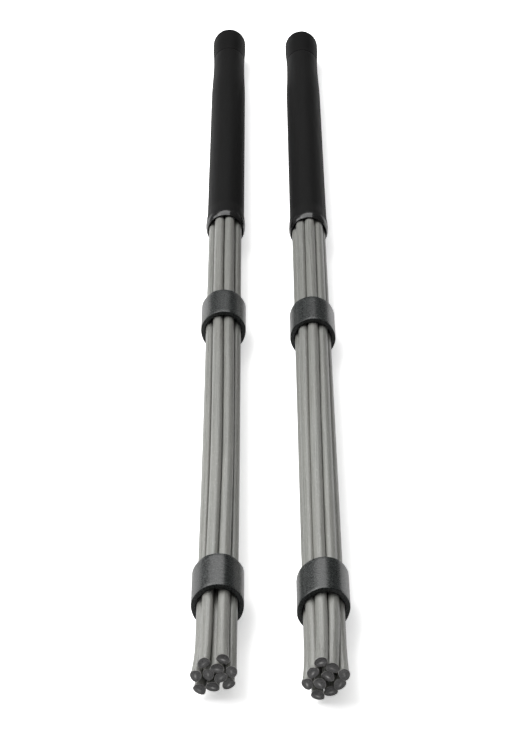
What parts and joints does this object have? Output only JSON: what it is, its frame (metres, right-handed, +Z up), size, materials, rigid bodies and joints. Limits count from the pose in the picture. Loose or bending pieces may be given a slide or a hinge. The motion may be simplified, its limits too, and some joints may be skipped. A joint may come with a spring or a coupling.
{
  "type": "pair of multi-rod drum brushes",
  "caption": "Pair of bundled plastic rod sticks for quiet drumming, with sliding rubber bands, black sleeved grips and domed butts.",
  "frame": {"origin": "on the surface that the pair lies on, midway between the sticks and halfway along them", "axes": "+Z up, +Y from the tips to the butts, +X from the left stick to the right one as seen from the tips"},
  "size_m": [0.0398, 0.406, 0.0135],
  "materials": {
    "rod_plastic": "satin grey plastic, darker on the cut ends",
    "band_rubber": "satin dark slate rubber with fine speckle",
    "tape": "matt black binding tape",
    "grip": "satin black shrunk sleeve",
    "cap": "satin black moulded cap"
  },
  "bodies": {
    "left_stick": {"left_rod_01": "rod_plastic", "left_rod_02": "rod_plastic", "left_rod_03": "rod_plastic", "left_rod_04": "rod_plastic", "left_rod_05": "rod_plastic", "left_rod_06": "rod_plastic", "left_rod_07": "rod_plastic", "left_rod_08": "rod_plastic", "left_rod_09": "rod_plastic", "left_rod_10": "rod_plastic", "left_binding_tape": "tape", "left_grip_sleeve": "grip", "left_end_cap": "cap"},
    "left_tip_band": {"left_tip_band": "band_rubber"},
    "left_grip_band": {"left_grip_band": "band_rubber"},
    "right_stick": {"right_rod_01": "rod_plastic", "right_rod_02": "rod_plastic", "right_rod_03": "rod_plastic", "right_rod_04": "rod_plastic", "right_rod_05": "rod_plastic", "right_rod_06": "rod_plastic", "right_rod_07": "rod_plastic", "right_rod_08": "rod_plastic", "right_rod_09": "rod_plastic", "right_rod_10": "rod_plastic", "right_binding_tape": "tape", "right_grip_sleeve": "grip", "right_end_cap": "cap"},
    "right_tip_band": {"right_tip_band": "band_rubber"},
    "right_grip_band": {"right_grip_band": "band_rubber"}
  },
  "joints": [
    {"name": "left_tip_band_slide", "type": "slide", "parent": "left_stick", "child": "left_tip_band", "axis": [0, 1, 0], "range_m": [-0.018, 0.06]},
    {"name": "left_grip_band_slide", "type": "slide", "parent": "left_stick", "child": "left_grip_band", "axis": [0, 1, 0], "range_m": [-0.065, 0.051]},
    {"name": "right_tip_band_slide", "type": "slide", "parent": "right_stick", "child": "right_tip_band", "axis": [0, 1, 0], "range_m": [-0.018, 0.06]},
    {"name": "right_grip_band_slide", "type": "slide", "parent": "right_stick", "child": "right_grip_band", "axis": [0, 1, 0], "range_m": [-0.065, 0.054]},
    {"name": "right_stick_lift", "type": "slide", "parent": "left_stick", "child": "right_stick", "axis": [0, 0, 1], "range_m": [0, 0.15]}
  ]
}
